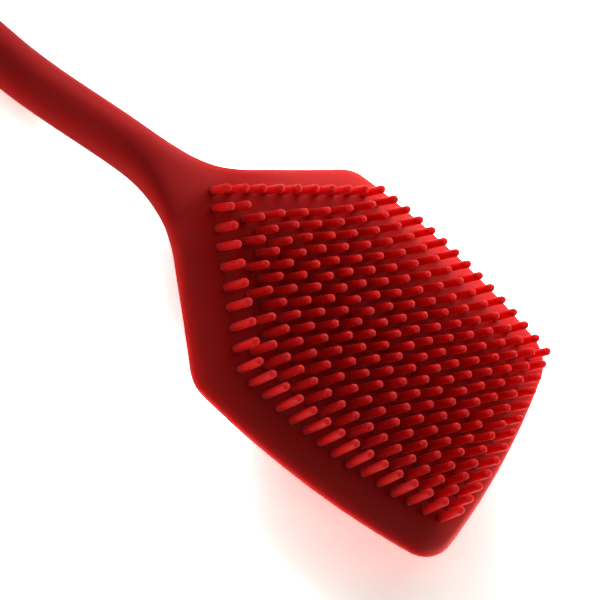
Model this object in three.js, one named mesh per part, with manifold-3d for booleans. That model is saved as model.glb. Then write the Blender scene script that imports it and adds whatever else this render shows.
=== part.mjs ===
// A double-sided silicone scrubbing brush: a flat spade-shaped head with bristles on both faces, and a
// round handle that drops to the surface the brush rests on and ends in a pad with a hanging hole.
// Millimetres, +Z up, +X from the handle to the head's front edge, +Y to the left of +X. The origin is on
// the resting surface, under the middle of the brush's length.

import * as THREE from 'three';
import { mergeGeometries, mergeVertices } from 'three/addons/utils/BufferGeometryUtils.js';
import Module from 'manifold-3d';

const wasm = await Module();
wasm.setup();

// ---------------------------------------------------------------- driving dimensions

// Whole brush. "FromFront" distances run back along the brush from the middle of the head's front edge.
const totalLength = 300;
const clearance = 0.3; // between the core, the skin and the two slices of bristles

// Head plate
const headWidth = 82.8;
const widestFromFront = 53;
const sideBowRadius = 238;
const frontBowRadius = 212;
const frontCornerRadius = 10;
const shoulderCornerRadius = 9;
const shoulderAngle = THREE.MathUtils.degToRad(46);
const shoulderTipFromFront = 117.8; // where the two straight shoulders would meet
const plateThickness = 5.4;
const rimRadius = 2.2;

// Neck and handle
const neckFlareRadius = 34;
const neckRampLength = 20; // the neck thickens over this length, from where the bristles' backing ends
const plateSquareness = 5; // section of the neck where it leaves the plate; 2 is an ellipse
const handleDiameter = 13.3;
const bendFromFront = 116;
const bendLength = 50;

// Pad and hanging hole at the handle's end
const padWidth = 20;
const padThickness = 9;
const padBevel = 1.5;
const padBlendLength = 22;
const padNeckShare = 0.9; // of the handle's radius, where the pad's outline meets the handle
const hangHoleDiameter = 8.5;

// Bristles
const strandPitch = 4.5;
const strandLength = 12;
const strandWidth = 1.6; // across the flats of the square strand, at its root
const strandTipWidth = 1.3;
const leanMeetHeight = 400; // the strands lean in a little, towards a point this far above their tips
const leanCentreFromFront = 30; // strands stand upright here
const frontRowBowRadius = 150; // cross rows are arcs, hollow towards the handle and flatter near it
const rowsPerSide = 6; // lengthwise rows on each side of the middle row
const rowPitch = 4.7; // between the middle rows; the outer ones stand further apart
const rowBowRadius = 210; // of the outermost rows, which bow with the head's sides
const middleRowLead = 1; // the middle row stands this far forward of its neighbours
const frontMargin = 7.65;
const sideMargin = 9.9; // at the head's widest place
const shoulderTipMargin = 14.8;
const shoulderGap = 4.05; // least gap from an inner row's last strand to the shoulder row
const sliceThickness = 0.9;
const sliceBorder = 2.2; // backing outside the outermost roots

// Core
const tangDiameter = 7.2;
const tongueThickness = 1.4;
const tongueWidth = 34;
const tongueTipFromFront = 38;
const tongueCornerRadius = 10;
const tongueNeckWidth = 12;
const coreRampLength = 24;
const keyHoleDiameter = 6;
const keyHoleCount = 3;
const keyHolePitch = 17;
const keyHoleFromTip = 12;
const eyeDiameter = 14.4;
const eyeThickness = 4.4;

// Facets of the round shapes
const handleSides = 16;
const tangSides = 10;
const circleSides = 24;
const frontBowSteps = 6;
const sideBowSteps = 8;
const cornerSteps = 5;
const rimSteps = 3;
const sliceSideSteps = 5;
const bendSteps = 9;
const neckSteps = 7;
const flareSteps = 3;
const padBlendSteps = 4;

// ---------------------------------------------------------------- places that follow from the sizes

const frontX = totalLength / 2;
const fromFront = (distance) => frontX - distance;
const handleRadius = handleDiameter / 2;
const headMidZ = strandLength + plateThickness / 2;
const handleMidZ = handleRadius * Math.cos(Math.PI / handleSides); // its lowest flat is at the surface
const bendEndFromFront = bendFromFront + bendLength;
const eyeFromFront = totalLength - padWidth / 2;
const padBlendFromFront = eyeFromFront - padBlendLength;
const tangEndFromFront = eyeFromFront - (hangHoleDiameter + eyeDiameter) / 4; // in the eye's wall

// ---------------------------------------------------------------- helpers

// Points of an arc from one angle to the other, both ends included.
function arcPoints(centre, radius, fromAngle, toAngle, steps) {
  const points = [];
  for (let i = 0; i <= steps; i++) {
    const angle = THREE.MathUtils.lerp(fromAngle, toAngle, i / steps);
    points.push(new THREE.Vector2(
      centre.x + radius * Math.cos(angle),
      centre.y + radius * Math.sin(angle),
    ));
  }
  return points;
}

const angleOf = (from, to) => Math.atan2(to.y - from.y, to.x - from.x);

// The crossing of two circles that has the larger y.
function upperCircleCrossing(centreA, radiusA, centreB, radiusB) {
  const between = centreB.clone().sub(centreA);
  const distance = between.length();
  const along = (distance ** 2 + radiusA ** 2 - radiusB ** 2) / (2 * distance);
  const across = Math.sqrt(radiusA ** 2 - along ** 2);
  const unit = between.divideScalar(distance);
  const foot = centreA.clone().addScaledVector(unit, along);
  const side = new THREE.Vector2(-unit.y, unit.x);
  const crossings = [across, -across].map((offset) => foot.clone().addScaledVector(side, offset));
  return crossings[0].y > crossings[1].y ? crossings[0] : crossings[1];
}

// The crossing of a line and a circle that lies further along the line.
function farLineCrossing(point, direction, centre, radius) {
  const toCentre = centre.clone().sub(point);
  const along = toCentre.dot(direction);
  const across = toCentre.cross(direction);
  return point.clone().addScaledVector(direction, along + Math.sqrt(radius ** 2 - across ** 2));
}

// An outline, listed anticlockwise, with every side moved outwards by the same distance.
function offsetOutline(points, distance) {
  return points.map((point, i) => {
    const before = points[(i + points.length - 1) % points.length];
    const after = points[(i + 1) % points.length];
    const inward = point.clone().sub(before).normalize();
    const outward = after.clone().sub(point).normalize();
    const normal = new THREE.Vector2(inward.y + outward.y, -inward.x - outward.x).normalize();
    const mitre = distance / Math.sqrt((1 + inward.dot(outward)) / 2);
    return point.clone().addScaledVector(normal, mitre);
  });
}

// The far half of an outline that is symmetric about y = 0, added to the half with y above 0.
function mirrored(half) {
  const other = half.filter((point) => point.y > 1e-9).map((point) => new THREE.Vector2(point.x, -point.y));
  return [...half, ...other.reverse()];
}

// A flat prism from an outline, between two heights.
function prism(outline, bottomZ, topZ) {
  const shape = new THREE.Shape(outline);
  const geometry = new THREE.ExtrudeGeometry(shape, { depth: topZ - bottomZ, bevelEnabled: false });
  return geometry.translate(0, 0, bottomZ);
}

// A closed body through rings that all have the same number of points, with flat ends.
function loft(rings) {
  const sides = rings[0].length;
  const positions = rings.flat().flatMap((point) => [point.x, point.y, point.z]);
  const faces = [];
  for (let ring = 0; ring + 1 < rings.length; ring++) {
    for (let i = 0; i < sides; i++) {
      const a = ring * sides + i;
      const b = ring * sides + (i + 1) % sides;
      faces.push(a, b, a + sides, b, b + sides, a + sides);
    }
  }
  const last = (rings.length - 1) * sides;
  for (let i = 1; i + 1 < sides; i++) {
    faces.push(0, i + 1, i, last, last + i, last + i + 1);
  }
  const geometry = new THREE.BufferGeometry();
  geometry.setAttribute('position', new THREE.Float32BufferAttribute(positions, 3));
  geometry.setIndex(faces);
  return geometry;
}

function toSolid(geometry) {
  const bare = geometry.clone();
  bare.deleteAttribute('normal');
  bare.deleteAttribute('uv');
  const merged = mergeVertices(bare);
  const vertProperties = new Float32Array(merged.attributes.position.array);
  const triVerts = new Uint32Array(merged.index.array);
  return new wasm.Manifold(new wasm.Mesh({ numProp: 3, vertProperties, triVerts }));
}

function toGeometry(solid) {
  const mesh = solid.getMesh();
  const geometry = new THREE.BufferGeometry();
  geometry.setAttribute('position', new THREE.Float32BufferAttribute(mesh.vertProperties, 3));
  geometry.setIndex([...mesh.triVerts]);
  return geometry;
}

// An upright cylinder at a distance from the front edge.
function uprightCylinder(radius, distance, midZ, height) {
  const geometry = new THREE.CylinderGeometry(radius, radius, height, circleSides);
  return geometry.rotateX(Math.PI / 2).translate(fromFront(distance), 0, midZ);
}

// ---------------------------------------------------------------- the line that the handle follows

// Height of the brush's middle line: level in the head, an easy S, then level along the handle.
function midHeight(distance) {
  const share = THREE.MathUtils.smoothstep(distance, bendFromFront, bendEndFromFront);
  return THREE.MathUtils.lerp(headMidZ, handleMidZ, share);
}

// A ring square to the middle line, with a flat below: an ellipse, or squarer than one.
function sectionRing(distance, halfWidth, halfHeight, sides, squareness = 2) {
  const squared = (value) => Math.sign(value) * Math.abs(value) ** (2 / squareness);
  const step = 0.5;
  const slope = (midHeight(distance + step) - midHeight(distance - step)) / (2 * step);
  const tilt = Math.atan(slope);
  const ring = [];
  for (let i = 0; i < sides; i++) {
    const angle = (2 * Math.PI * (i + 0.5)) / sides - Math.PI / 2;
    const up = halfHeight * squared(Math.sin(angle));
    ring.push(new THREE.Vector3(
      fromFront(distance) + up * Math.sin(tilt),
      -halfWidth * squared(Math.cos(angle)),
      midHeight(distance) + up * Math.cos(tilt),
    ));
  }
  return ring;
}

const evenSteps = (from, to, steps) =>
  Array.from({ length: steps + 1 }, (_, i) => THREE.MathUtils.lerp(from, to, i / steps));

// ---------------------------------------------------------------- head outline

// Half outline of the head, from the middle of the front edge round to the neck.
function headOutlineHalf() {
  const frontCentre = new THREE.Vector2(fromFront(frontBowRadius), 0);
  const sideCentre = new THREE.Vector2(fromFront(widestFromFront), headWidth / 2 - sideBowRadius);
  const corner = upperCircleCrossing(
    frontCentre, frontBowRadius - frontCornerRadius,
    sideCentre, sideBowRadius - frontCornerRadius,
  );

  const shoulderTip = new THREE.Vector2(fromFront(shoulderTipFromFront), 0);
  const shoulderDirection = new THREE.Vector2(Math.cos(shoulderAngle), Math.sin(shoulderAngle));
  const shoulderInward = new THREE.Vector2(Math.sin(shoulderAngle), -Math.cos(shoulderAngle));
  const shoulderStart = shoulderTip.clone().addScaledVector(shoulderInward, shoulderCornerRadius);
  const shoulder = farLineCrossing(
    shoulderStart, shoulderDirection,
    sideCentre, sideBowRadius - shoulderCornerRadius,
  );
  const shoulderOutAngle = shoulderAngle + Math.PI / 2;

  // The tail stays inside the neck, which covers it.
  const tail = shoulderTip.clone().addScaledVector(shoulderDirection, handleRadius / 2);
  return [
    ...arcPoints(frontCentre, frontBowRadius, 0, angleOf(frontCentre, corner), frontBowSteps),
    ...arcPoints(
      corner, frontCornerRadius,
      angleOf(frontCentre, corner), angleOf(sideCentre, corner), cornerSteps,
    ),
    ...arcPoints(
      sideCentre, sideBowRadius,
      angleOf(sideCentre, corner), angleOf(sideCentre, shoulder), sideBowSteps,
    ).slice(1, -1),
    ...arcPoints(
      shoulder, shoulderCornerRadius,
      angleOf(sideCentre, shoulder), shoulderOutAngle, cornerSteps,
    ),
    tail,
  ];
}

// ---------------------------------------------------------------- bristles

const bristleTipFromFront = shoulderTipFromFront - shoulderTipMargin;
const bristleTip = new THREE.Vector2(fromFront(bristleTipFromFront), 0);
const outerRowSpread = headWidth / 2 - sideMargin - rowsPerSide * rowPitch;

// A place in a lengthwise row. The middle rows are straight and even; going out, a growing share of the
// outermost row's spread and bow is added. The cross rows lose their bow towards the rearmost strand.
function placeInRow(row, distance) {
  const outward = (row / rowsPerSide) ** 3;
  const bow = (distance - widestFromFront) ** 2 / (2 * rowBowRadius);
  const y = row * rowPitch + outward * (outerRowSpread - bow);
  const flatter = (bristleTipFromFront - distance) / (bristleTipFromFront - frontMargin);
  return new THREE.Vector2(fromFront(distance) - flatter * y ** 2 / (2 * frontRowBowRadius), y);
}

// Place of a strand's tip: rows are counted from the middle row, columns from the front one.
const columnFromFront = (column) => frontMargin + column * strandPitch;
const strandPlace = (row, column) => placeInRow(row, columnFromFront(column));

// Where a strand's root is, from the place of its tip.
function rootPlace(place) {
  const centre = new THREE.Vector2(fromFront(leanCentreFromFront), 0);
  return place.clone().sub(centre).multiplyScalar(1 + strandLength / leanMeetHeight).add(centre);
}

// The outermost rows run back to the line through the tip that is parallel to the shoulder.
function outerRowCount() {
  const aheadOfShoulder = (place) => (place.x - bristleTip.x) * Math.tan(shoulderAngle) > place.y;
  let count = 1;
  while (aheadOfShoulder(strandPlace(rowsPerSide, count))) {
    count++;
  }
  return count;
}

const outerCount = outerRowCount();
const shoulderCorner = strandPlace(rowsPerSide, outerCount - 1);

// Strands that fit in a row between the front column and the shoulder row, without either.
function roomInRow(row) {
  const share = strandPlace(row, outerCount - 1).y / shoulderCorner.y;
  const shoulderX = THREE.MathUtils.lerp(bristleTip.x, shoulderCorner.x, share);
  const room = strandPlace(row, 0).x - shoulderX;
  return Math.floor((room - shoulderGap) / strandPitch);
}

// Every strand's tip on one face: front column, side rows, shoulder rows, inner rows and middle row.
function strandPlaces() {
  const places = [strandPlace(0, 0), bristleTip];
  const addPair = (place) => places.push(place, new THREE.Vector2(place.x, -place.y));

  for (let row = 1; row < rowsPerSide; row++) {
    addPair(strandPlace(row, 0));
  }
  for (let column = 0; column < outerCount; column++) {
    addPair(strandPlace(rowsPerSide, column));
  }

  const shoulderSteps = Math.floor(shoulderCorner.distanceTo(bristleTip) / strandPitch);
  for (let step = 1; step < shoulderSteps; step++) {
    addPair(shoulderCorner.clone().lerp(bristleTip, step / shoulderSteps));
  }

  // Going in from the side, each inner row is one strand longer than the last, where it fits.
  let count = roomInRow(rowsPerSide - 1);
  for (let row = rowsPerSide - 1; row > 0; row--) {
    for (let column = 1; column <= count; column++) {
      addPair(strandPlace(row, column));
    }
    count = Math.min(count + 1, roomInRow(row - 1));
  }

  const lead = new THREE.Vector2(middleRowLead, 0);
  for (let column = 1; column <= roomInRow(0); column++) {
    places.push(strandPlace(0, column).add(lead));
  }
  return places;
}

// Outline through the outermost roots, moved outwards.
function sliceOutline(border) {
  const half = [];
  for (let row = 0; row < rowsPerSide; row++) {
    half.push(strandPlace(row, 0));
  }
  for (const distance of evenSteps(frontMargin, columnFromFront(outerCount - 1), sliceSideSteps)) {
    half.push(placeInRow(rowsPerSide, distance));
  }
  half.push(bristleTip);
  return offsetOutline(mirrored(half).map(rootPlace), border);
}

// The recess for the slice comes to a corner behind the last root, and the neck thickens from there.
const recessReach = (sliceBorder + clearance) / Math.sin(shoulderAngle);
const neckRampFromFront = frontX - rootPlace(bristleTip).x + recessReach;
const neckRampEndFromFront = neckRampFromFront + neckRampLength;

// A square ring round a strand.
function strandRing(place, width, z) {
  const half = width / 2;
  const corners = [[-half, -half], [half, -half], [half, half], [-half, half]];
  return corners.map(([dx, dy]) => new THREE.Vector3(place.x + dx, place.y + dy, z));
}

// One face's strands, standing on a slice of backing whose upper face is at z = 0.
function bristleGeometry() {
  const strands = strandPlaces().map((place) => loft([
    strandRing(rootPlace(place), strandWidth, -sliceThickness / 2),
    strandRing(place, strandTipWidth, strandLength),
  ]));
  const slice = prism(sliceOutline(sliceBorder), -sliceThickness, 0);
  return toGeometry(toSolid(slice).add(toSolid(mergeGeometries(strands))));
}

// ---------------------------------------------------------------- core

const tongueNeckFromFront = neckRampFromFront;
const coreRampEndFromFront = tongueNeckFromFront + coreRampLength;

// Flat outline of the tongue, from its rounded tip to the neck.
function tongueOutline() {
  const cornerCentre = new THREE.Vector2(
    fromFront(tongueTipFromFront + tongueCornerRadius),
    tongueWidth / 2 - tongueCornerRadius,
  );
  const taperLength = (tongueWidth - tongueNeckWidth) / 2 / Math.tan(shoulderAngle);
  return mirrored([
    ...arcPoints(cornerCentre, tongueCornerRadius, 0, Math.PI / 2, cornerSteps),
    new THREE.Vector2(fromFront(tongueNeckFromFront - taperLength), tongueWidth / 2),
    new THREE.Vector2(fromFront(tongueNeckFromFront), tongueNeckWidth / 2),
    new THREE.Vector2(fromFront(tongueNeckFromFront + tongueNeckWidth / 2), tongueNeckWidth / 2),
  ]);
}

// The tang: flat where it leaves the tongue, round along the handle, flatter again at the eye.
function tangRing(distance, grow) {
  const tangRadius = tangDiameter / 2;
  const thicken = THREE.MathUtils.smoothstep(distance, tongueNeckFromFront, coreRampEndFromFront);
  const thin = THREE.MathUtils.smoothstep(distance, padBlendFromFront, tangEndFromFront);
  const startWidth = tongueNeckWidth / 2 - clearance;
  const startHeight = tongueThickness / 2;
  const halfWidth = THREE.MathUtils.lerp(startWidth, tangRadius, thicken);
  const fullHeight = THREE.MathUtils.lerp(startHeight, tangRadius, thicken);
  const halfHeight = THREE.MathUtils.lerp(fullHeight, eyeThickness / 2, thin);
  return sectionRing(distance, halfWidth + grow, halfHeight + grow, tangSides);
}

// The whole core, grown on every side: by nothing for the piece, by the clearance for its cavity.
function coreSolid(grow) {
  const tongueHalf = tongueThickness / 2 + grow;
  const tongue = prism(offsetOutline(tongueOutline(), grow), headMidZ - tongueHalf, headMidZ + tongueHalf);
  const tang = loft([
    ...evenSteps(tongueNeckFromFront, coreRampEndFromFront, neckSteps),
    ...evenSteps(coreRampEndFromFront, bendEndFromFront, bendSteps).slice(1),
    ...evenSteps(padBlendFromFront, tangEndFromFront, padBlendSteps),
  ].map((distance) => tangRing(distance, grow)));
  const eye = uprightCylinder(eyeDiameter / 2 + grow, eyeFromFront, handleMidZ, eyeThickness + 2 * grow);

  let solid = toSolid(tongue).add(toSolid(tang)).add(toSolid(eye));
  for (let i = 0; i < keyHoleCount; i++) {
    const distance = tongueTipFromFront + keyHoleFromTip + i * keyHolePitch;
    solid = solid.subtract(toSolid(
      uprightCylinder(keyHoleDiameter / 2 - grow, distance, headMidZ, plateThickness),
    ));
  }
  return solid;
}

const hangHole = () =>
  toSolid(uprightCylinder(hangHoleDiameter / 2, eyeFromFront, handleMidZ, 2 * padThickness));

const coreGeometry = () => toGeometry(coreSolid(0).subtract(hangHole()));

// ---------------------------------------------------------------- skin

// A flat body with a round rim, level about a height.
function bevelled(outline, thickness, bevel, midZ) {
  const geometry = new THREE.ExtrudeGeometry(new THREE.Shape(outline), {
    depth: thickness - 2 * bevel,
    bevelThickness: bevel,
    bevelSize: bevel,
    bevelOffset: -bevel,
    bevelSegments: rimSteps,
  });
  return geometry.translate(0, 0, midZ - thickness / 2 + bevel);
}

// The hollow flare runs from the straight shoulder to the handle's side.
const flareCentreY = handleRadius + neckFlareRadius;
const flareStartY = flareCentreY - neckFlareRadius * Math.cos(shoulderAngle);
const flareFromFront = shoulderTipFromFront - flareStartY / Math.tan(shoulderAngle);
const flareEndFromFront = flareFromFront + neckFlareRadius * Math.sin(shoulderAngle);

function neckHalfWidth(distance) {
  const before = Math.max(flareEndFromFront - distance, 0);
  return flareCentreY - Math.sqrt(neckFlareRadius ** 2 - before ** 2);
}

// The neck leaves the plate with the plate's own section; the handle ends flat inside the pad.
function handleRing(distance) {
  const thicken = THREE.MathUtils.smoothstep(distance, neckRampFromFront, neckRampEndFromFront);
  const round = THREE.MathUtils.smoothstep(distance, flareFromFront, neckRampEndFromFront);
  const thin = THREE.MathUtils.smoothstep(distance, padBlendFromFront, tangEndFromFront);
  const fullHeight = THREE.MathUtils.lerp(plateThickness / 2, handleRadius, thicken);
  const halfHeight = THREE.MathUtils.lerp(fullHeight, padThickness / 2, thin);
  const squareness = THREE.MathUtils.lerp(plateSquareness, 2, round);
  return sectionRing(distance, neckHalfWidth(distance), halfHeight, handleSides, squareness);
}

function handleLoft() {
  return loft([
    ...evenSteps(flareFromFront, neckRampFromFront, flareSteps),
    ...evenSteps(neckRampFromFront, neckRampEndFromFront, neckSteps).slice(1),
    ...evenSteps(neckRampEndFromFront, bendEndFromFront, bendSteps).slice(1),
    ...evenSteps(padBlendFromFront, tangEndFromFront, padBlendSteps),
  ].map(handleRing));
}

// The pad round the hanging hole: a disc that narrows to the handle's width.
function padOutline() {
  const eye = new THREE.Vector2(fromFront(eyeFromFront), 0);
  const neck = new THREE.Vector2(fromFront(padBlendFromFront), handleRadius * padNeckShare);
  const reach = eye.distanceTo(neck);
  const touchAngle = angleOf(eye, neck) + Math.acos(padWidth / 2 / reach);
  return mirrored([neck, ...arcPoints(eye, padWidth / 2, touchAngle, Math.PI, circleSides / 2)]);
}

function skinGeometry() {
  const head = bevelled(mirrored(headOutlineHalf()), plateThickness, rimRadius, headMidZ);
  const pad = bevelled(padOutline(), padThickness, padBevel, handleMidZ);
  const recessOutline = sliceOutline(sliceBorder + clearance);
  const floorAboveMid = plateThickness / 2 - sliceThickness - clearance;
  const frontRecess = prism(recessOutline, headMidZ + floorAboveMid, headMidZ + plateThickness);
  const rearRecess = prism(recessOutline, headMidZ - plateThickness, headMidZ - floorAboveMid);

  const outside = toSolid(head).add(toSolid(handleLoft())).add(toSolid(pad));
  return toGeometry(outside
    .subtract(toSolid(frontRecess))
    .subtract(toSolid(rearRecess))
    .subtract(coreSolid(clearance))
    .subtract(hangHole()));
}

// ---------------------------------------------------------------- the brush

function silicone(color) {
  return new THREE.MeshStandardMaterial({ color, roughness: 0.55, metalness: 0 });
}

function piece(name, geometry, material) {
  const mesh = new THREE.Mesh(geometry, material);
  mesh.name = name;
  return mesh;
}

const bristles = bristleGeometry();
const frontBristles = piece('front_bristles', bristles, silicone(0xc81a1e));
frontBristles.position.z = headMidZ + plateThickness / 2;

const rearBristles = piece('rear_bristles', bristles, silicone(0xc81a1e));
rearBristles.position.z = headMidZ - plateThickness / 2;
rearBristles.rotation.x = Math.PI;

const nylon = new THREE.MeshStandardMaterial({ color: 0x2b2b2d, roughness: 0.6, metalness: 0 });

const brush = new THREE.Group();
brush.name = 'silicone_brush';
brush.add(
  piece('core', coreGeometry(), nylon),
  piece('silicone_skin', skinGeometry(), silicone(0xb51218)),
  frontBristles,
  rearBristles,
);

export default brush;
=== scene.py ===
"""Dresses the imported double-sided silicone brush and stands it in a plain soft studio.

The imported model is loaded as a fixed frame. One smooth skin and two fields of round bristles stand for
the faceted silicone solids, and the rigid core keeps its own solid with a moulded nylon finish.
"""

from __future__ import annotations

import logging
import math
from dataclasses import dataclass, field
from enum import Enum

import bmesh
import bpy
from mathutils import Matrix, Vector, kdtree, noise

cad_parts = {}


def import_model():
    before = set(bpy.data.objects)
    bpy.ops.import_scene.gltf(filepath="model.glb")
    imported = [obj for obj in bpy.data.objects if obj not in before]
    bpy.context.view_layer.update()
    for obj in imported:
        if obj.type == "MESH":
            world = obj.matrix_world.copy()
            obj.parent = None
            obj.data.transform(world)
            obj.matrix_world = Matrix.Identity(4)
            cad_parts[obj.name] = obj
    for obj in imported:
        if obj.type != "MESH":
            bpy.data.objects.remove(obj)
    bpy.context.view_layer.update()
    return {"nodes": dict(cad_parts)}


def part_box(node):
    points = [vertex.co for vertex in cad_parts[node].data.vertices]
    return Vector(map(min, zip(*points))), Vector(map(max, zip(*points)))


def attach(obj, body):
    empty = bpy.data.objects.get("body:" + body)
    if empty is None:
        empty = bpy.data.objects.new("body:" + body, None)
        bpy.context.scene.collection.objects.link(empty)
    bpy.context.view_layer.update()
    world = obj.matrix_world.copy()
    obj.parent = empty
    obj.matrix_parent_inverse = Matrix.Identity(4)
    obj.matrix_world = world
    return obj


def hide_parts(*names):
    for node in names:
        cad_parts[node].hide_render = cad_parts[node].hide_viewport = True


log = logging.getLogger("brush")
MM = 0.001
QUARTER = math.pi / 2
WHITE = (1.0, 1.0, 1.0, 1.0)
Socket = bpy.types.NodeSocket


class Face(Enum):
    """The two faces of the head, by the way their bristles point."""

    FRONT = 1
    REAR = -1

    @property
    def node(self) -> str:
        """The name of the solid that this face's bristles stand for."""
        return f"{self.name.lower()}_bristles"


# ---------------------------------------------------------------- helpers for shapes


def smoothstep(value: float, low: float, high: float) -> float:
    """Eases from 0 at low to 1 at high.

    Args:
        value: where along the ramp.
        low: the ramp's start.
        high: the ramp's end.

    Returns:
        The eased share, from 0 to 1.
    """
    share = min(max((value - low) / (high - low), 0.0), 1.0)
    return share * share * (3.0 - 2.0 * share)


def mix(a: float, b: float, share: float) -> float:
    """The value a share of the way from a to b."""
    return a + (b - a) * share


def arc(centre: Vector, radius: float, start: float, end: float, steps: int) -> list[Vector]:
    """Points of a flat arc, both ends included.

    Args:
        centre: the arc's centre.
        radius: its radius.
        start: the angle of the first point, in radians.
        end: the angle of the last point.
        steps: how many pieces the arc is cut into.

    Returns:
        The points, in order.
    """
    angles = (mix(start, end, i / steps) for i in range(steps + 1))
    return [centre + radius * Vector((math.cos(a), math.sin(a))) for a in angles]


def heading(start: Vector, end: Vector) -> float:
    """The angle of the way from start to end, in radians."""
    return math.atan2(end.y - start.y, end.x - start.x)


def circle_crossing(centre_a: Vector, radius_a: float, centre_b: Vector, radius_b: float) -> Vector:
    """The crossing of two circles that has the larger y.

    Args:
        centre_a: the first circle's centre.
        radius_a: its radius.
        centre_b: the second circle's centre.
        radius_b: its radius.

    Returns:
        The crossing.
    """
    between = centre_b - centre_a
    reach = between.length
    along = (reach**2 + radius_a**2 - radius_b**2) / (2 * reach)
    across = math.sqrt(radius_a**2 - along**2)
    unit = between.normalized()
    foot = centre_a + unit * along
    side = Vector((-unit.y, unit.x)) * across
    return max(foot + side, foot - side, key=lambda p: p.y)


def mirrored(half: list[Vector], on_axis: float = 1e-9) -> list[Vector]:
    """A whole outline, listed anticlockwise, from its half with y of 0 or more.

    Args:
        half: the half's points.
        on_axis: how close to the axis a point is its own mirror.

    Returns:
        The outline's points.
    """
    return half + [Vector((p.x, -p.y)) for p in reversed(half) if p.y > on_axis]


def inset(outline: list[Vector], distance: float) -> list[Vector]:
    """An outline with each corner moved in.

    Args:
        outline: the points, listed anticlockwise.
        distance: how far the sides move in.

    Returns:
        The moved points, one for each.
    """
    moved = []
    for i, point in enumerate(outline):
        before = (point - outline[i - 1]).normalized()
        after = (outline[(i + 1) % len(outline)] - point).normalized()
        normal = Vector((-before.y - after.y, before.x + after.x)).normalized()
        mitre = distance / math.sqrt((1 + before.dot(after)) / 2)
        moved.append(point + normal * mitre)
    return moved


def skin_rings(shape: bmesh.types.BMesh, rings: list[list[Vector]]) -> None:
    """Adds a closed body through rings of equal count, capped at both ends.

    Args:
        shape: the mesh that takes it.
        rings: the rings, in metres.
    """
    made = [[shape.verts.new(point) for point in ring] for ring in rings]
    for lower, upper in zip(made, made[1:]):
        for i in range(len(lower)):
            j = (i + 1) % len(lower)
            shape.faces.new((lower[i], lower[j], upper[j], upper[i]))
    shape.faces.new(list(reversed(made[0])))
    shape.faces.new(made[-1])


def object_from(name: str, shape: bmesh.types.BMesh) -> bpy.types.Object:
    """Turns a bmesh into a smooth-shaded object in the scene.

    Args:
        name: the object's name.
        shape: the mesh, which is freed.

    Returns:
        The new object.
    """
    bmesh.ops.recalc_face_normals(shape, faces=shape.faces)
    mesh = bpy.data.meshes.new(name)
    shape.to_mesh(mesh)
    shape.free()
    mesh.shade_smooth()
    made = bpy.data.objects.new(name, mesh)
    bpy.context.scene.collection.objects.link(made)
    return made


def settle(made: bpy.types.Object) -> None:
    """Bakes an object's modifiers into its mesh and removes them."""
    depsgraph = bpy.context.evaluated_depsgraph_get()
    baked = bpy.data.meshes.new_from_object(made.evaluated_get(depsgraph), depsgraph=depsgraph)
    old = made.data
    made.modifiers.clear()
    made.data = baked
    bpy.data.meshes.remove(old)
    baked.name = made.name


# ---------------------------------------------------------------- helpers for node trees


class Nodes:
    """A short way to write a node tree: each call adds nodes and links what they are given."""

    def __init__(self, tree: bpy.types.NodeTree) -> None:
        """Starts on a tree, which may be a material's or a geometry group."""
        self.tree = tree

    def add(self, kind: str, inputs: dict | None = None, **settings: object) -> bpy.types.Node:
        """Adds a node.

        Args:
            kind: the node's type name.
            inputs: socket name or number to a value, or to the socket that feeds it.
            **settings: the node's own properties.

        Returns:
            The node.
        """
        node = self.tree.nodes.new(kind)
        for name, value in settings.items():
            setattr(node, name, value)
        for key, value in (inputs or {}).items():
            socket = node.inputs[key]
            if isinstance(value, Socket):
                self.tree.links.new(value, socket)
            else:
                socket.default_value = value
        return node

    def maths(self, operation: str, *values: object, clamp: bool = False) -> Socket:
        """Adds a Math node.

        Args:
            operation: what it does.
            *values: its inputs, numbers or sockets.
            clamp: whether the result stays from 0 to 1.

        Returns:
            Its result.
        """
        feeds = dict(enumerate(values))
        return self.add("ShaderNodeMath", feeds, operation=operation, use_clamp=clamp).outputs[0]

    def ramp(self, value: Socket, span: tuple, given: tuple = (0.0, 1.0), soft: bool = False) -> Socket:
        """Adds a Map Range node.

        Args:
            value: what is mapped.
            span: where the ramp starts and ends.
            given: what it gives at its start and at its end.
            soft: whether it eases in and out.

        Returns:
            Its result.
        """
        feeds = {"Value": value}
        feeds |= {"From Min": span[0], "From Max": span[1], "To Min": given[0], "To Max": given[1]}
        kind = "SMOOTHSTEP" if soft else "LINEAR"
        return self.add("ShaderNodeMapRange", feeds, interpolation_type=kind).outputs[0]

    def blend(self, share: Socket, start: tuple, end: tuple) -> Socket:
        """The colour a share of the way from start to end."""
        feeds = {"Factor": share, 6: start, 7: end}
        return self.add("ShaderNodeMix", feeds, data_type="RGBA").outputs[2]

    def scaled(self, vector: Socket | tuple, level: Socket) -> Socket:
        """A vector or colour times a number."""
        return self.add("ShaderNodeVectorMath", {0: vector, "Scale": level}, operation="SCALE").outputs[0]

    def length(self, vector: Socket) -> Socket:
        """The length of a vector."""
        return self.add("ShaderNodeVectorMath", {0: vector}, operation="LENGTH").outputs["Value"]

    def in_sight(self) -> Socket:
        """Is one on camera, glossy and transmission rays, and zero on the rays that carry light."""
        path = self.add("ShaderNodeLightPath").outputs
        direct = self.maths("MAXIMUM", path["Is Camera Ray"], path["Is Glossy Ray"])
        return self.maths("MAXIMUM", direct, path["Is Transmission Ray"])


def new_material(name: str) -> tuple[bpy.types.Material, Nodes]:
    """Makes a material with no nodes yet.

    Args:
        name: its name.

    Returns:
        The material and its nodes.
    """
    made = bpy.data.materials.new(name)
    made.use_nodes = True
    made.node_tree.nodes.clear()
    return made, Nodes(made.node_tree)


# ---------------------------------------------------------------- finishes


@dataclass(frozen=True)
class PaintedRootShade:
    """Painted shade at the bristles' roots: how much deeper the colour is painted at a bristle's root, by
    its distance from the head's middle plane, standing in for the shade between the bristles.
    """

    middle: float
    start: float
    depth: float = 5.5 * MM
    share: float = 0.7


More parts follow.
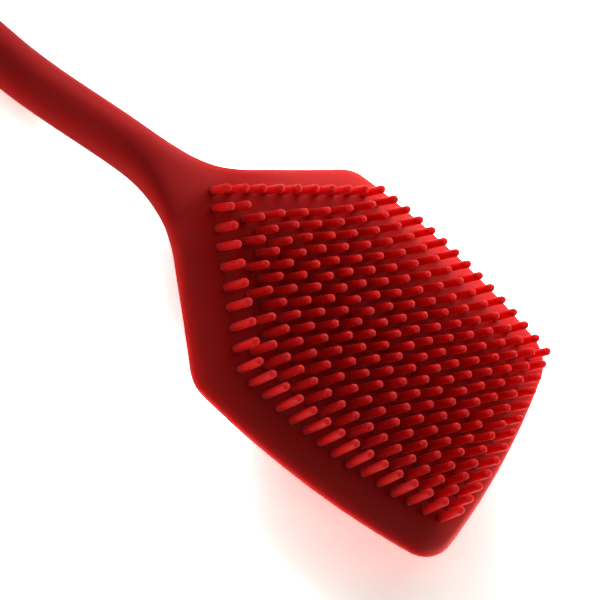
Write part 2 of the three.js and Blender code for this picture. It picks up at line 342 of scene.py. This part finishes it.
@dataclass(frozen=True)
class SiliconeFinish:
    """Matt moulded silicone rubber with a fine tooth, a little bloom and some dust; it can also paint shade
    at the bristles' roots.
    """

    name: str
    colour: tuple[float, float, float]
    bloom: tuple[float, float, float]
    roughness: float = 0.5
    roughness_spread: float = 0.05
    glow: float = 1.0
    glow_depth: float = 5.0 * MM
    glow_reach: tuple[float, float, float] = (1.0, 0.05, 0.04)
    sheen: float = 0.02
    sheen_roughness: float = 0.5
    shine: float = 0.1
    ior: float = 1.41
    tooth_per_m: float = 2600.0
    tooth_height: float = 0.035 * MM
    cloud_per_m: float = 55.0
    cloud_span: tuple[float, float] = (0.3, 0.7)
    most_bloom: float = 0.35
    dust_per_m: float = 900.0
    dust_edge: tuple[float, float] = (0.10, 0.22)
    dust_share: float = 0.5
    dust_rarity: float = 0.9
    # painted shade at the bristles' roots, if any
    roots: PaintedRootShade | None = None

    def bloomed(self, n: Nodes, place: Socket, cloud: Socket) -> Socket:
        """Mixes the colour with its bloom, in clouds and in specks of dust.

        Args:
            n: the material's nodes.
            place: the point's place.
            cloud: the cloudy noise.

        Returns:
            The colour.
        """
        cloudy = n.ramp(cloud, self.cloud_span, (0.0, self.most_bloom))
        dust = n.add("ShaderNodeTexVoronoi", {"Vector": place, "Scale": self.dust_per_m})
        speck = n.ramp(dust.outputs["Distance"], self.dust_edge, (self.dust_share, 0.0))
        pick = n.add("ShaderNodeSeparateColor", {"Color": dust.outputs["Color"]}).outputs[0]
        specks = n.maths("MULTIPLY", speck, n.maths("GREATER_THAN", pick, self.dust_rarity))
        share = n.maths("ADD", cloudy, specks, clamp=True)
        return n.blend(share, (*self.colour, 1.0), (*self.bloom, 1.0))

    def painted_root_shade(self, n: Nodes, place: Socket, colour: Socket) -> Socket:
        """Paints shade into a colour: deeper towards the bristles' roots, standing in for the shade between
        the bristles.

        Args:
            n: the material's nodes.
            place: the point's place.
            colour: the colour away from the roots.

        Returns:
            The colour with its painted root shade.
        """
        height = n.add("ShaderNodeSeparateXYZ", {0: place}).outputs["Z"]
        away = n.maths("ABSOLUTE", n.maths("SUBTRACT", height, self.roots.middle))
        span = (self.roots.start, self.roots.start + self.roots.depth)
        return n.scaled(colour, n.ramp(away, span, (self.roots.share, 1.0), soft=True))

    def material(self) -> bpy.types.Material:
        """Makes the finish's material."""
        made, n = new_material(self.name)
        place = n.add("ShaderNodeTexCoord").outputs["Object"]
        clouds = n.add("ShaderNodeTexNoise", {"Vector": place, "Scale": self.cloud_per_m, "Detail": 3.0})
        cloud = clouds.outputs["Fac"]
        colour = self.bloomed(n, place, cloud)
        # paints shade at the bristles' roots into the colour
        if self.roots:
            colour = self.painted_root_shade(n, place, colour)
        tooth = n.add("ShaderNodeTexNoise", {"Vector": place, "Scale": self.tooth_per_m, "Detail": 2.0})
        spread = (self.roughness - self.roughness_spread, self.roughness + self.roughness_spread)
        bump = n.add(
            "ShaderNodeBump",
            {"Height": tooth.outputs["Fac"], "Distance": self.tooth_height, "Strength": 1.0},
        )
        shader = n.add(
            "ShaderNodeBsdfPrincipled",
            {
                "Base Color": colour,
                "Roughness": n.ramp(cloud, self.cloud_span, spread),
                "Normal": bump.outputs["Normal"],
                "Subsurface Weight": self.glow,
                "Subsurface Radius": self.glow_reach,
                "Subsurface Scale": self.glow_depth,
                "Sheen Weight": self.sheen,
                "Sheen Roughness": self.sheen_roughness,
                "Specular IOR Level": self.shine,
                "IOR": self.ior,
            },
        )
        n.add("ShaderNodeOutputMaterial", {"Surface": shader.outputs[0]})
        return made


@dataclass(frozen=True)
class NylonFinish:
    """Glass-filled nylon: dark grey, with pale flecks of fibre just under the surface."""

    name: str
    colour: tuple[float, float, float]
    fleck: tuple[float, float, float]
    roughness: float = 0.55
    fleck_per_m: float = 1500.0
    fleck_stretch: tuple[float, float, float] = (0.25, 1.0, 1.0)
    fleck_edge: tuple[float, float] = (0.56, 0.72)
    fleck_height: float = 0.02 * MM

    def material(self) -> bpy.types.Material:
        """Makes the finish's material."""
        made, n = new_material(self.name)
        place = n.add("ShaderNodeTexCoord").outputs["Object"]
        drawn = n.add("ShaderNodeMapping", {"Vector": place, "Scale": self.fleck_stretch}).outputs[0]
        fibre = n.add("ShaderNodeTexNoise", {"Vector": drawn, "Scale": self.fleck_per_m}).outputs["Fac"]
        flecks = n.ramp(fibre, self.fleck_edge)
        bump = n.add("ShaderNodeBump", {"Height": fibre, "Distance": self.fleck_height})
        shader = n.add(
            "ShaderNodeBsdfPrincipled",
            {
                "Base Color": n.blend(flecks, (*self.colour, 1.0), (*self.fleck, 1.0)),
                "Roughness": self.roughness,
                "Normal": bump.outputs["Normal"],
            },
        )
        n.add("ShaderNodeOutputMaterial", {"Surface": shader.outputs[0]})
        return made


@dataclass(frozen=True)
class PaleFloorFinish:
    """A plain sweep that keeps a soft shadow near the brush and shows white further out."""

    name: str = "pale_floor"
    colour: tuple[float, float, float] = (0.76, 0.855, 0.845)
    seen_gain: float = 3.8
    lift: tuple[float, float, float] = (0.18, 0.17, 0.13)
    lift_reach: float = 0.18
    white_reach: float = 0.32

    def material(self) -> bpy.types.Material:
        """Makes the finish's material."""
        made, n = new_material(self.name)
        seen = n.add("ShaderNodeLightPath").outputs["Is Camera Ray"]
        tint = n.scaled(self.colour, n.ramp(seen, (0.0, 1.0), (1.0, self.seen_gain)))
        paint = n.add("ShaderNodeBsdfDiffuse", {"Color": tint})
        away = n.length(n.add("ShaderNodeTexCoord").outputs["Object"])
        whiter = n.ramp(away, (self.lift_reach, self.white_reach), soft=True)
        glow = n.blend(whiter, (*self.lift, 1.0), WHITE)
        light = n.add("ShaderNodeEmission", {"Color": glow, "Strength": n.in_sight()})
        both = n.add("ShaderNodeAddShader", {0: paint.outputs[0], 1: light.outputs[0]})
        n.add("ShaderNodeOutputMaterial", {"Surface": both.outputs[0]})
        return made


# ---------------------------------------------------------------- the brush


@dataclass
class BrushPlan:
    """The brush's sizes, in millimetres: the head's outline and the line that the handle follows.

    A distance is measured back from the front edge.
    """

    front_x: float
    end_x: float
    head_mid_z: float
    head_width: float = 82.8
    widest: float = 53.0
    side_bow: float = 238.0
    front_bow: float = 212.0
    front_corner: float = 10.0
    shoulder_corner: float = 9.0
    shoulder_angle: float = math.radians(46.0)
    shoulder_tip: float = 117.8
    plate: float = 5.4
    rim: float = 2.1
    flare: float = 34.0
    ramp_start: float = 104.0
    ramp_length: float = 26.0
    handle: float = 13.3
    bend_start: float = 116.0
    bend_length: float = 50.0
    pad_width: float = 20.0
    pad_thickness: float = 9.0
    pad_rim: float = 2.6
    pad_blend: float = 24.0
    pad_neck: float = 0.85
    hole: float = 8.5
    overlap: float = 3.0

    @property
    def handle_radius(self) -> float:
        """Half the handle's thickness."""
        return self.handle / 2

    @property
    def eye(self) -> float:
        """Where the hanging hole is."""
        return self.front_x - self.end_x - self.pad_width / 2

    def x(self, distance: float) -> float:
        """The place along the brush of a distance back from the front edge."""
        return self.front_x - distance

    def middle(self, distance: float) -> float:
        """The height of the brush's middle line."""
        share = smoothstep(distance, self.bend_start, self.bend_start + self.bend_length)
        return mix(self.head_mid_z, self.handle_radius, share)

    @property
    def flare_centre_y(self) -> float:
        """How far out the centre of the neck's hollow is."""
        return self.handle_radius + self.flare

    @property
    def flare_start(self) -> float:
        """Where the straight shoulder gives way to the hollow."""
        out = self.flare_centre_y - self.flare * math.cos(self.shoulder_angle)
        return self.shoulder_tip - out / math.tan(self.shoulder_angle)

    def neck_half_width(self, distance: float) -> float:
        """Half the width of the neck and handle at a distance from the front edge."""
        end = self.flare_start + self.flare * math.sin(self.shoulder_angle)
        before = max(end - distance, 0.0)
        return self.flare_centre_y - math.sqrt(self.flare**2 - before**2)

    def head_outline(self) -> list[Vector]:
        """The head's outline, listed anticlockwise, closed inside the neck."""
        front_centre = Vector((self.x(self.front_bow), 0.0))
        side_centre = Vector((self.x(self.widest), self.head_width / 2 - self.side_bow))
        corner = circle_crossing(
            front_centre, self.front_bow - self.front_corner, side_centre, self.side_bow - self.front_corner
        )
        tip = Vector((self.x(self.shoulder_tip), 0.0))
        along = Vector((math.cos(self.shoulder_angle), math.sin(self.shoulder_angle)))
        inward = Vector((along.y, -along.x))
        start = tip + inward * self.shoulder_corner
        to_centre = side_centre - start
        reach = self.side_bow - self.shoulder_corner
        across = to_centre.x * along.y - to_centre.y * along.x
        shoulder = start + along * (to_centre.dot(along) + math.sqrt(reach**2 - across**2))

        to_corner, to_side = heading(front_centre, corner), heading(side_centre, corner)
        to_shoulder = heading(side_centre, shoulder)
        steps, end = 10, self.ramp_start + self.overlap
        distances = [mix(self.flare_start, end, i / steps) for i in range(steps + 1)]
        half = (
            arc(front_centre, self.front_bow, 0.0, to_corner, steps=24)
            + arc(corner, self.front_corner, to_corner, to_side, steps=16)[1:]
            + arc(side_centre, self.side_bow, to_side, to_shoulder, steps=40)[1:]
            + arc(shoulder, self.shoulder_corner, to_shoulder, self.shoulder_angle + QUARTER, steps=14)[1:]
            + [Vector((self.x(d), self.neck_half_width(d))) for d in distances]
        )
        return mirrored(half)

    def pad_outline(self) -> list[Vector]:
        """The outline of the pad round the hanging hole."""
        eye = Vector((self.x(self.eye), 0.0))
        neck = Vector((self.x(self.eye - self.pad_blend), self.handle_radius * self.pad_neck))
        reach = (neck - eye).length
        touch = heading(eye, neck) + math.acos(self.pad_width / 2 / reach)
        return mirrored([neck] + arc(eye, self.pad_width / 2, touch, math.pi, steps=30))


@dataclass
class SiliconeSkin:
    """The one-piece silicone overmould, in millimetres: head plate, neck, handle and hanging pad."""

    plan: BrushPlan
    finish: SiliconeFinish
    ring_sides: int = 56
    rim_steps: int = 7
    station: float = 1.6
    handle_stop: float = 6.0
    thinned_by: float = 4.0
    head_squareness: float = 4.0
    grain: float = 0.62
    soften: float = 0.5
    soften_rounds: int = 14
    crown_drop: float = 1.1
    crown_width: float = 10.0
    crown_fade: float = 12.0
    edge_steps: int = 24
    groove_radius: float = 7.5
    groove_height: float = 5.0
    hole_sides: int = 64

    def slab(
        self, shape: bmesh.types.BMesh, outline: list[Vector], thick: float, rim: float, mid: float
    ) -> None:
        """Adds a flat body with a round rim.

        Args:
            shape: the mesh that takes it.
            outline: its widest outline, in millimetres.
            thick: its thickness.
            rim: the radius of its rim.
            mid: the height of its middle.
        """
        rings = []
        for side in (-1, 1):
            turns = [i / self.rim_steps * QUARTER for i in range(self.rim_steps + 1)]
            for turn in turns if side > 0 else reversed(turns):
                flat = inset(outline, rim * (1 - math.cos(turn)))
                z = mid + side * (thick / 2 - rim + rim * math.sin(turn))
                rings.append([Vector((p.x, p.y, z)) * MM for p in flat])
        skin_rings(shape, rings)

    def ring(self, distance: float) -> list[Vector]:
        """One section of the neck and handle, square to the middle line."""
        plan = self.plan
        ramp_end = plan.ramp_start + plan.ramp_length
        thick = smoothstep(distance, plan.ramp_start, ramp_end)
        thin = smoothstep(distance, plan.eye - plan.pad_blend, plan.eye - self.thinned_by)
        half_height = mix(mix(plan.plate / 2, plan.handle_radius, thick), plan.pad_thickness / 2, thin)
        power = 2 / mix(self.head_squareness, 2.0, smoothstep(distance, plan.flare_start, ramp_end))
        slope = plan.middle(distance + 0.5) - plan.middle(distance - 0.5)
        tilt = math.atan(slope)
        points = []
        for i in range(self.ring_sides):
            angle = 2 * math.pi * i / self.ring_sides
            across = math.copysign(abs(math.cos(angle)) ** power, math.cos(angle))
            up = math.copysign(abs(math.sin(angle)) ** power, math.sin(angle)) * half_height
            points.append(
                Vector(
                    (
                        plan.x(distance) + up * math.sin(tilt),
                        -plan.neck_half_width(distance) * across,
                        plan.middle(distance) + up * math.cos(tilt),
                    )
                )
                * MM
            )
        return points

    def build(self) -> bpy.types.Object:
        """Makes the skin as one smooth closed mesh and dresses it."""
        plan = self.plan
        shape = bmesh.new()
        self.slab(shape, plan.head_outline(), plan.plate, plan.rim, plan.head_mid_z)
        self.slab(shape, plan.pad_outline(), plan.pad_thickness, plan.pad_rim, plan.handle_radius)
        last = plan.eye - self.handle_stop
        count = round((last - plan.flare_start) / self.station)
        skin_rings(shape, [self.ring(mix(plan.flare_start, last, i / count)) for i in range(count + 1)])
        skin = object_from("skin", shape)

        one = skin.modifiers.new("one_body", "REMESH")
        one.mode = "VOXEL"
        one.voxel_size = self.grain * MM
        settle(skin)
        self.cut(skin, plan.hole / 2, 3 * plan.pad_thickness)
        soft = skin.modifiers.new("soften", "SMOOTH")
        soft.factor = self.soften
        soft.iterations = self.soften_rounds
        settle(skin)
        self.crown(skin)
        self.cut(skin, self.groove_radius, self.groove_height)
        skin.data.shade_smooth()
        skin.data.materials.append(self.finish.material())
        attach(skin, "root")
        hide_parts("silicone_skin")
        log.info("skin: %d faces", len(skin.data.polygons))
        return skin

    def crown(self, skin: bpy.types.Object) -> None:
        """Thins the head towards its edge, so that its margins slope; the neck keeps its thickness."""
        plan = self.plan
        back = plan.x(plan.flare_start)
        half = [point for point in plan.head_outline() if point.y >= 0.0 and point.x > back]
        steps = self.edge_steps
        edge = [a.lerp(b, i / steps) for a, b in zip(half, half[1:]) for i in range(steps)]
        tree = kdtree.KDTree(len(edge))
        for i, point in enumerate(edge):
            tree.insert((point.x, point.y, 0.0), i)
        tree.balance()
        middle = plan.head_mid_z * MM
        for vertex in skin.data.vertices:
            distance = plan.front_x - vertex.co.x / MM
            fade = 1.0 - smoothstep(distance, plan.flare_start - self.crown_fade, plan.flare_start)
            if fade > 0.0:
                away = tree.find((vertex.co.x / MM, abs(vertex.co.y) / MM, 0.0))[2]
                drop = self.crown_drop * fade * max(1.0 - away / self.crown_width, 0.0) ** 2
                vertex.co.z = middle + (vertex.co.z - middle) * (1.0 - 2.0 * drop / plan.plate)

    def cut(self, skin: bpy.types.Object, radius: float, height: float) -> None:
        """Takes an upright round space out of the pad.

        Args:
            skin: the skin.
            radius: the space's radius, in millimetres.
            height: its height.
        """
        shape = bmesh.new()
        wide = radius * MM
        bmesh.ops.create_cone(
            shape, cap_ends=True, segments=self.hole_sides, radius1=wide, radius2=wide, depth=height * MM
        )
        place = Vector((self.plan.x(self.plan.eye), 0.0, self.plan.handle_radius)) * MM
        bmesh.ops.translate(shape, verts=shape.verts, vec=place)
        tool = object_from("cutter", shape)
        hole = skin.modifiers.new("hole", "BOOLEAN")
        hole.object = tool
        hole.operation = "DIFFERENCE"
        hole.solver = "EXACT"
        settle(skin)
        bpy.data.meshes.remove(tool.data)


@dataclass(frozen=True)
class LeanField:
    """How far tips stand from over their roots, in pitches, at x and y pitches from the field's middle."""

    middle: float = 30.15
    ahead: float = 0.17
    ahead_by_x: float = -0.050
    ahead_by_y: float = 0.010
    ahead_by_xx: float = -0.0019
    ahead_by_yy: float = -0.0043
    across: float = -0.47
    across_by_y: float = -0.059
    across_by_xx: float = -0.0016
    across_by_yy: float = 0.0023

    def at(self, x: float, y: float) -> Vector:
        """The lean at a place.

        Args:
            x: pitches ahead of the middle.
            y: pitches to the side.

        Returns:
            The lean ahead and across, in pitches.
        """
        ahead = self.ahead + self.ahead_by_x * x + self.ahead_by_y * y
        ahead += self.ahead_by_xx * x * x + self.ahead_by_yy * y * y
        across = self.across + self.across_by_y * y + self.across_by_xx * x * x + self.across_by_yy * y * y
        return Vector((ahead, across))


@dataclass
class BristleField:
    """The bristles of one face: rows along the head, closed off by a row along each shoulder.

    Sizes are in millimetres, but for the stray, which is in pitches.
    """

    plan: BrushPlan
    face: Face
    finish: SiliconeFinish
    top_z: float
    length: float = 12.0
    pitch: float = 4.5
    rows_each_side: int = 6
    row_pitch: float = 4.7
    row_bow: float = 210.0
    front_row_bow: float = 150.0
    front_margin: float = 7.65
    side_margin: float = 9.9
    tip_margin: float = 14.8
    middle_lead: float = 1.0
    shoulder_gap: float = 4.05
    root_radius: float = 1.10
    tip_radius: float = 1.07
    tip_round: float = 0.6
    shaft_share: float = 0.57
    taper_power: float = 0.45
    size_spread: float = 0.03
    sides: int = 10
    levels: int = 7
    sunk: float = 0.35
    lean_field: LeanField = LeanField()
    stray: float = 0.09
    stray_step: float = 1.7
    seed: int = 7
    places: list[Vector] = field(default_factory=list)

    def place(self, row: int, column: int) -> Vector:
        """The tip of a bristle, by rows from the middle and columns from the front."""
        distance = self.front_margin + column * self.pitch
        outward = (row / self.rows_each_side) ** 3
        spread = self.plan.head_width / 2 - self.side_margin - self.rows_each_side * self.row_pitch
        bow = (distance - self.plan.widest) ** 2 / (2 * self.row_bow)
        y = row * self.row_pitch + outward * (spread - bow)
        last = self.plan.shoulder_tip - self.tip_margin
        flatter = (last - distance) / (last - self.front_margin)
        return Vector((self.plan.x(distance) - flatter * y**2 / (2 * self.front_row_bow), y))

    def lay_out(self) -> None:
        """Works out every bristle's tip."""
        tip = Vector((self.plan.x(self.plan.shoulder_tip - self.tip_margin), 0.0))
        rise = math.tan(self.plan.shoulder_angle)
        side = self.rows_each_side
        outer = 1
        while (self.place(side, outer).x - tip.x) * rise > self.place(side, outer).y:
            outer += 1
        corner = self.place(side, outer - 1)

        def room(row: int) -> int:
            """How many bristles a row holds between the front one and the shoulder row."""
            share = self.place(row, outer - 1).y / corner.y
            free = self.place(row, 0).x - mix(tip.x, corner.x, share) - self.shoulder_gap
            return math.floor(free / self.pitch)

        pairs = [self.place(row, 0) for row in range(1, side)]
        pairs += [self.place(side, column) for column in range(outer)]
        steps = math.floor((corner - tip).length / self.pitch)
        pairs += [corner.lerp(tip, step / steps) for step in range(1, steps)]
        count = room(side - 1)
        for row in range(side - 1, 0, -1):
            pairs += [self.place(row, column) for column in range(1, count + 1)]
            count = min(count + 1, room(row - 1))
        lead = Vector((self.middle_lead, 0.0))
        single = [self.place(0, 0), tip] + [self.place(0, c) + lead for c in range(1, room(0) + 1)]
        self.places = single + pairs + [Vector((p.x, -p.y)) for p in pairs]

    def lean(self, tip: Vector, index: int) -> Vector:
        """How far a bristle's tip is from over its root, in millimetres.

        Args:
            tip: the tip's place.
            index: the bristle's number, which picks its own small stray.

        Returns:
            The lean, along and across the head.
        """
        x = (tip.x - self.plan.x(self.lean_field.middle)) / self.pitch
        lean = self.lean_field.at(x, tip.y / self.pitch)
        wander = noise.noise_vector(Vector((index * self.stray_step, self.seed, self.face.value)))
        return (lean + self.stray * wander.xy) * self.pitch

    def seeds(self) -> bpy.types.Object:
        """Makes the points that bristles stand on, each with the way its bristle goes."""
        up = self.face.value
        foot = self.top_z - up * (self.length + self.sunk)
        noise.seed_set(self.seed)
        points, ways = [], []
        for index, tip in enumerate(self.places):
            lean = self.lean(tip, index)
            root = tip - lean
            tilt = math.atan2(lean.length, self.length)
            rise = (self.tip_radius - self.tip_round) * math.sin(tilt)
            rise += self.tip_round * (1.0 - math.cos(tilt))
            points.append(Vector((root.x, root.y, foot)) * MM)
            ways.append(Vector((lean.x, lean.y, up * (self.length + self.sunk - rise))) * MM)
        mesh = bpy.data.meshes.new(f"{self.face.name.lower()}_round_bristles")
        mesh.from_pydata(points, [], [])
        way = mesh.attributes.new("way", "FLOAT_VECTOR", "POINT")
        way.data.foreach_set("vector", [c for w in ways for c in w])
        made = bpy.data.objects.new(mesh.name, mesh)
        bpy.context.scene.collection.objects.link(made)
        return made

    def tree(self, material: bpy.types.Material) -> bpy.types.NodeTree:
        """Makes the geometry group that grows a bristle on every point.

        Args:
            material: what the bristles are dressed in.

        Returns:
            The group.
        """
        tree = bpy.data.node_groups.new("grow_bristles", "GeometryNodeTree")
        tree.interface.new_socket("Geometry", in_out="INPUT", socket_type="NodeSocketGeometry")
        for label in ("Root Radius", "Tip Radius", "Tip Round", "Size Spread"):
            tree.interface.new_socket(label, in_out="INPUT", socket_type="NodeSocketFloat")
        for label in ("Sides", "Levels", "Seed"):
            tree.interface.new_socket(label, in_out="INPUT", socket_type="NodeSocketInt")
        tree.interface.new_socket("Geometry", in_out="OUTPUT", socket_type="NodeSocketGeometry")
        n = Nodes(tree)
        given = n.add("NodeGroupInput").outputs

        # A bristle one unit high: its levels are spread over the shaft and then round the tip.
        blank = n.add(
            "GeometryNodeMeshCylinder",
            {"Vertices": given["Sides"], "Side Segments": given["Levels"], "Radius": 1.0, "Depth": 1.0},
        )
        spot = n.add("ShaderNodeSeparateXYZ", {0: n.add("GeometryNodeInputPosition").outputs[0]}).outputs
        level = n.maths("ADD", spot["Z"], 0.5)
        shaft = n.maths("DIVIDE", level, self.shaft_share, clamp=True)
        past = n.maths("SUBTRACT", level, self.shaft_share)
        turn = n.maths("MULTIPLY", n.maths("DIVIDE", past, 1.0 - self.shaft_share, clamp=True), QUARTER)
        ends = (given["Root Radius"], given["Tip Radius"])
        taper = n.ramp(n.maths("POWER", shaft, self.taper_power), (0.0, 1.0), ends)
        rounding = n.maths("SUBTRACT", 1.0, n.maths("COSINE", turn))
        radius = n.maths("SUBTRACT", taper, n.maths("MULTIPLY", given["Tip Round"], rounding))
        share = n.maths("DIVIDE", given["Tip Round"], self.length * MM)
        high = n.maths(
            "ADD",
            n.maths("MULTIPLY", shaft, n.maths("SUBTRACT", 1.0, share)),
            n.maths("MULTIPLY", share, n.maths("SINE", turn)),
        )
        across = [n.maths("MULTIPLY", spot[axis], radius) for axis in "XY"]
        spot_now = n.add("ShaderNodeCombineXYZ", {0: across[0], 1: across[1], 2: high}).outputs[0]
        shaped = n.add("GeometryNodeSetPosition", {"Geometry": blank.outputs["Mesh"], "Position": spot_now})
        way = n.add("GeometryNodeInputNamedAttribute", {"Name": "way"}, data_type="FLOAT_VECTOR").outputs[0]
        turned = n.add("FunctionNodeAlignRotationToVector", {"Vector": way}, axis="Z").outputs[0]
        limits = {
            2: n.maths("SUBTRACT", 1.0, given["Size Spread"]),
            3: n.maths("ADD", 1.0, given["Size Spread"]),
            "Seed": given["Seed"],
        }
        girth = n.add("FunctionNodeRandomValue", limits, data_type="FLOAT").outputs[1]
        size = n.add("ShaderNodeCombineXYZ", {0: girth, 1: girth, 2: n.length(way)}).outputs[0]
        planted = n.add(
            "GeometryNodeInstanceOnPoints",
            {"Points": given["Geometry"], "Instance": shaped.outputs[0], "Rotation": turned, "Scale": size},
        )
        real = n.add("GeometryNodeRealizeInstances", {"Geometry": planted.outputs[0]})
        smooth = n.add("GeometryNodeSetShadeSmooth", {"Geometry": real.outputs[0]})
        dressed = n.add("GeometryNodeSetMaterial", {"Geometry": smooth.outputs[0], "Material": material})
        n.add("NodeGroupOutput", {0: dressed.outputs[0]})
        return tree

    def build(self) -> bpy.types.Object:
        """Makes the field as one plain mesh and dresses it."""
        self.lay_out()
        made = self.seeds()
        tree = self.tree(self.finish.material())
        grow = made.modifiers.new("grow", "NODES")
        grow.node_group = tree
        sizes = {
            "Root Radius": self.root_radius * MM,
            "Tip Radius": self.tip_radius * MM,
            "Tip Round": self.tip_round * MM,
            "Size Spread": self.size_spread,
            "Sides": self.sides,
            "Levels": self.levels,
            "Seed": self.seed,
        }
        for item in tree.interface.items_tree:
            if item.in_out == "INPUT" and item.name in sizes:
                grow[item.identifier] = sizes[item.name]
        settle(made)
        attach(made, "root")
        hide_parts(self.face.node)
        log.info("%s: %d bristles, %d faces", made.name, len(self.places), len(made.data.polygons))
        return made


# ---------------------------------------------------------------- the studio


def hang_lamp(name: str, size: tuple[float, float], energy: float, place: Matrix) -> None:
    """Adds a rectangular lamp that the camera doesn't see.

    Args:
        name: the lamp's name.
        size: its two sides.
        energy: its power, in watts.
        place: where it hangs and how it is turned.
    """
    light = bpy.data.lights.new(name, "AREA")
    light.shape = "RECTANGLE"
    light.size, light.size_y = size
    light.energy = energy
    lamp = bpy.data.objects.new(name, light)
    lamp.matrix_world = place
    lamp.visible_camera = False
    bpy.context.scene.collection.objects.link(lamp)


@dataclass
class Lamp:
    """One soft lamp, with the level that it lights the brush to."""

    name: str
    way: tuple[float, float, float]
    distance: float
    size: tuple[float, float]
    level: float

    def build(self, target: Vector) -> None:
        """Places the lamp, looking at a target that a level of 1 shows in its own colour."""
        way = Vector(self.way).normalized()
        turn = way.to_track_quat("Z", "Y").to_matrix().to_4x4()
        energy = self.level * (math.pi * self.distance) ** 2
        hang_lamp(self.name, self.size, energy, Matrix.Translation(target + way * self.distance) @ turn)


class Facing(Enum):
    """Which way a low panel shines: the tilt that turns it there, and its height."""

    UP = (math.pi, 0.5 * MM)
    DOWN = (0.0, 10.0 * MM)


@dataclass
class GlowPanel:
    """A low panel beside the brush: it lights the table, or shines up as a brightly lit table does."""

    name: str
    centre: tuple[float, float]
    size: tuple[float, float]
    brightness: float
    facing: Facing = Facing.UP

    def build(self) -> None:
        """Places the panel."""
        tilt, height = self.facing.value
        place = Matrix.Translation((*self.centre, height)) @ Matrix.Rotation(tilt, 4, "X")
        hang_lamp(self.name, self.size, self.brightness * math.pi * self.size[0] * self.size[1], place)


@dataclass
class Studio:
    """The camera, the lamps, the floor and the soft surround."""

    eye: tuple[float, float, float] = (0.03593, -0.15732, 0.27489)
    right: tuple[float, float, float] = (0.7534, 0.5011, 0.4259)
    up: tuple[float, float, float] = (-0.6416, 0.7020, 0.3092)
    lens: float = 71.52
    sensor: float = 36.0
    nearest: float = 0.01
    surround: float = 0.03
    floor_half: float = 2.5

    def camera(self) -> None:
        """Makes the camera."""
        data = bpy.data.cameras.new("camera")
        data.lens = self.lens
        data.sensor_width = self.sensor
        data.clip_start = self.nearest
        right = Vector(self.right).normalized()
        back = right.cross(Vector(self.up)).normalized()
        up = back.cross(right)
        turn = Matrix((right, up, back)).transposed().to_4x4()
        made = bpy.data.objects.new("camera", data)
        made.matrix_world = Matrix.Translation(Vector(self.eye)) @ turn
        bpy.context.scene.collection.objects.link(made)
        bpy.context.scene.camera = made

    def lights(self, target: Vector) -> None:
        """Makes the lamps and the surround."""
        for lamp in (
            Lamp("key", (0.0, 0.93, 0.33), 0.11, (0.14, 0.05), 1.1),
            Lamp("wide_side", (-0.2, 0.97, 0.2), 0.9, (2.0, 0.5), 0.27),
            Lamp("far_side", (-0.6, 0.6, 0.5), 0.9, (0.5, 0.25), 0.21),
            Lamp("front_side", (0.98, 0.16, 0.02), 0.9, (0.5, 0.12), 1.15),
            Lamp("handle_side", (-0.98, -0.1, 0.1), 0.9, (0.5, 0.15), 0.3),
            Lamp("low_fill", (-0.05, -0.99, -0.12), 0.14, (0.16, 0.012), 0.12),
        ):
            lamp.build(target)
        for panel in (
            GlowPanel("near_glow", (0.120, -0.060), (0.08, 0.03), 2.0),
            GlowPanel("front_glow", (0.185, 0.0), (0.05, 0.12), 1.2),
            GlowPanel("near_table", (0.1225, -0.0955), (0.075, 0.05), 1.5, Facing.DOWN),
            GlowPanel("shoulder_table", (0.065, -0.0725), (0.04, 0.065), 2.7, Facing.DOWN),
            GlowPanel("handle_table", (0.0025, -0.044), (0.085, 0.056), 1.1, Facing.DOWN),
        ):
            panel.build()
        world = bpy.data.worlds.new("surround")
        world.use_nodes = True
        world.node_tree.nodes.clear()
        n = Nodes(world.node_tree)
        level = n.ramp(n.in_sight(), (0.0, 1.0), (self.surround, 1.0))
        light = n.add("ShaderNodeBackground", {"Color": WHITE, "Strength": level})
        n.add("ShaderNodeOutputWorld", {"Surface": light.outputs[0]})
        bpy.context.scene.world = world

    def floor(self, height: float) -> None:
        """Lays the floor at a height."""
        shape = bmesh.new()
        bmesh.ops.create_grid(shape, x_segments=1, y_segments=1, size=self.floor_half)
        bmesh.ops.translate(shape, verts=shape.verts, vec=(0.0, 0.0, height))
        made = object_from("floor", shape)
        made.data.materials.append(PaleFloorFinish().material())


# ---------------------------------------------------------------- putting it together


def main() -> None:
    """Builds the studio and the brush in order."""
    logging.basicConfig(level=logging.INFO, format="%(name)s: %(message)s")
    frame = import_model()
    bpy.context.scene.view_settings.view_transform = "Standard"

    studio = Studio()
    studio.camera()
    skin_low, skin_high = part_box("silicone_skin")
    front_low, front_high = (Vector(corner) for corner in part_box("front_bristles"))
    top = front_high.z / MM
    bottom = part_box("rear_bristles")[0][2] / MM
    plan = BrushPlan(skin_high[0] / MM, skin_low[0] / MM, (top + bottom) / 2)

    skin_finish = SiliconeFinish("skin_silicone", (0.64, 0.004, 0.003), (0.68, 0.012, 0.012))
    bristle_finish = SiliconeFinish(
        "bristle_silicone",
        (0.66, 0.004, 0.003),
        (0.70, 0.014, 0.014),
        roughness=0.42,
        shine=0.15,
        # the bristles' roots get painted shade, darker towards the head
        roots=PaintedRootShade(plan.head_mid_z * MM, plan.plate / 2 * MM),
    )
    SiliconeSkin(plan, skin_finish).build()
    BristleField(plan, Face.FRONT, bristle_finish, top).build()
    BristleField(plan, Face.REAR, bristle_finish, bottom).build()

    core = frame["nodes"]["core"]
    core.data.materials.clear()
    core_finish = NylonFinish("core_nylon", (0.022, 0.022, 0.024), (0.09, 0.09, 0.092))
    core.data.materials.append(core_finish.material())
    log.info("core: keeps its solid")

    studio.lights(front_low.lerp(front_high, 0.5))
    studio.floor(bottom * MM)


if __name__ == "__main__":
    main()
